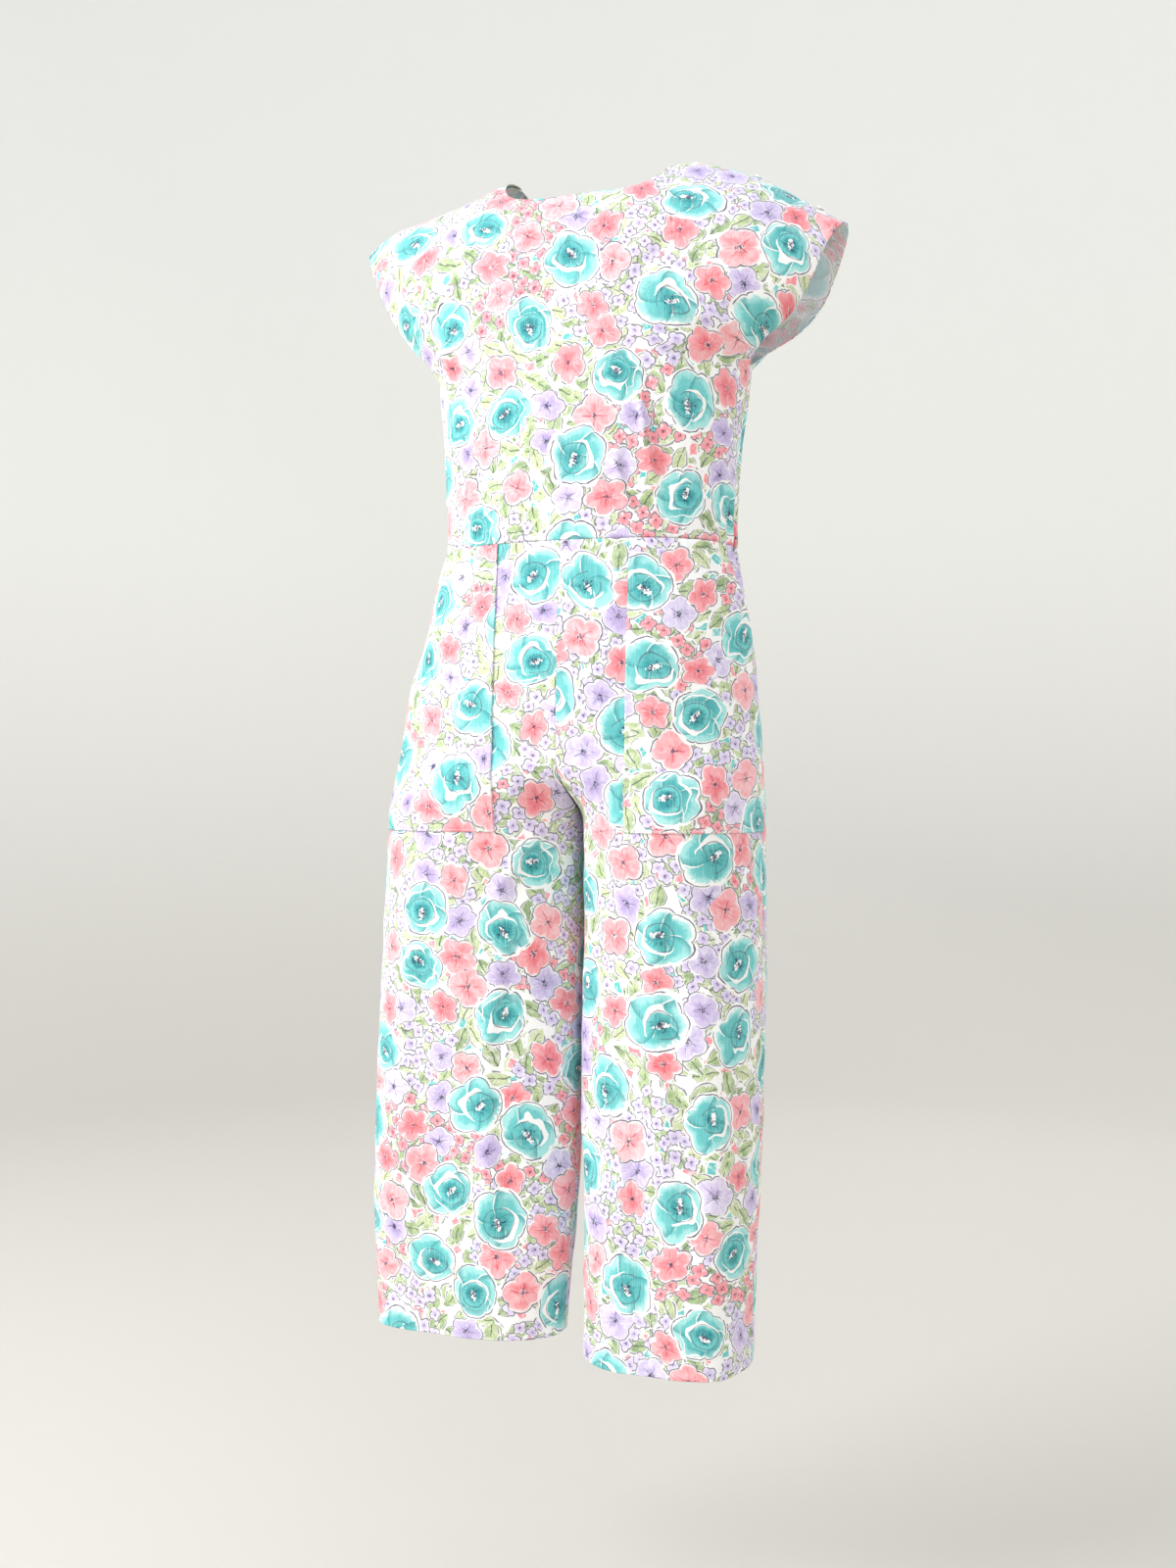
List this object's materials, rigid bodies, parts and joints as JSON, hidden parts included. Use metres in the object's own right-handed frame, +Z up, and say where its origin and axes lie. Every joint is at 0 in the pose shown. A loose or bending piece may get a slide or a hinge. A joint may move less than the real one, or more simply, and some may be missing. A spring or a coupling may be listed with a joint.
{
  "type": "romper",
  "caption": "Loose cap-sleeved romper with cropped wide legs, gathered elastic waist, patch pockets and buttoned shoulders, hollow as worn.",
  "frame": {"origin": "where the wearer holds the garment up: midway between the neck ends of the two shoulder lines", "axes": "+Z up from the hems to the shoulders, -Y towards the front, +X towards the wearer's left"},
  "size_m": [0.5618, 0.2525, 1.3197],
  "materials": {
    "bodice_front": "matt",
    "bodice_back": "matt",
    "front_leg_right": "matt",
    "front_leg_left": "matt",
    "back_leg_right": "matt",
    "back_leg_left": "matt",
    "pocket_right": "matt",
    "pocket_left": "matt",
    "shoulder_button_right_1": "gloss",
    "shoulder_button_right_2": "gloss",
    "shoulder_button_right_3": "gloss",
    "shoulder_button_left_1": "gloss",
    "shoulder_button_left_2": "gloss",
    "shoulder_button_left_3": "gloss"
  },
  "bodies": {
    "root": {"bodice_front": "bodice_front", "bodice_back": "bodice_back", "front_leg_right": "front_leg_right", "front_leg_left": "front_leg_left", "back_leg_right": "back_leg_right", "back_leg_left": "back_leg_left", "pocket_right": "pocket_right", "pocket_left": "pocket_left", "shoulder_button_right_1": "shoulder_button_right_1", "shoulder_button_right_2": "shoulder_button_right_2", "shoulder_button_right_3": "shoulder_button_right_3", "shoulder_button_left_1": "shoulder_button_left_1", "shoulder_button_left_2": "shoulder_button_left_2", "shoulder_button_left_3": "shoulder_button_left_3"}
  },
  "joints": []
}
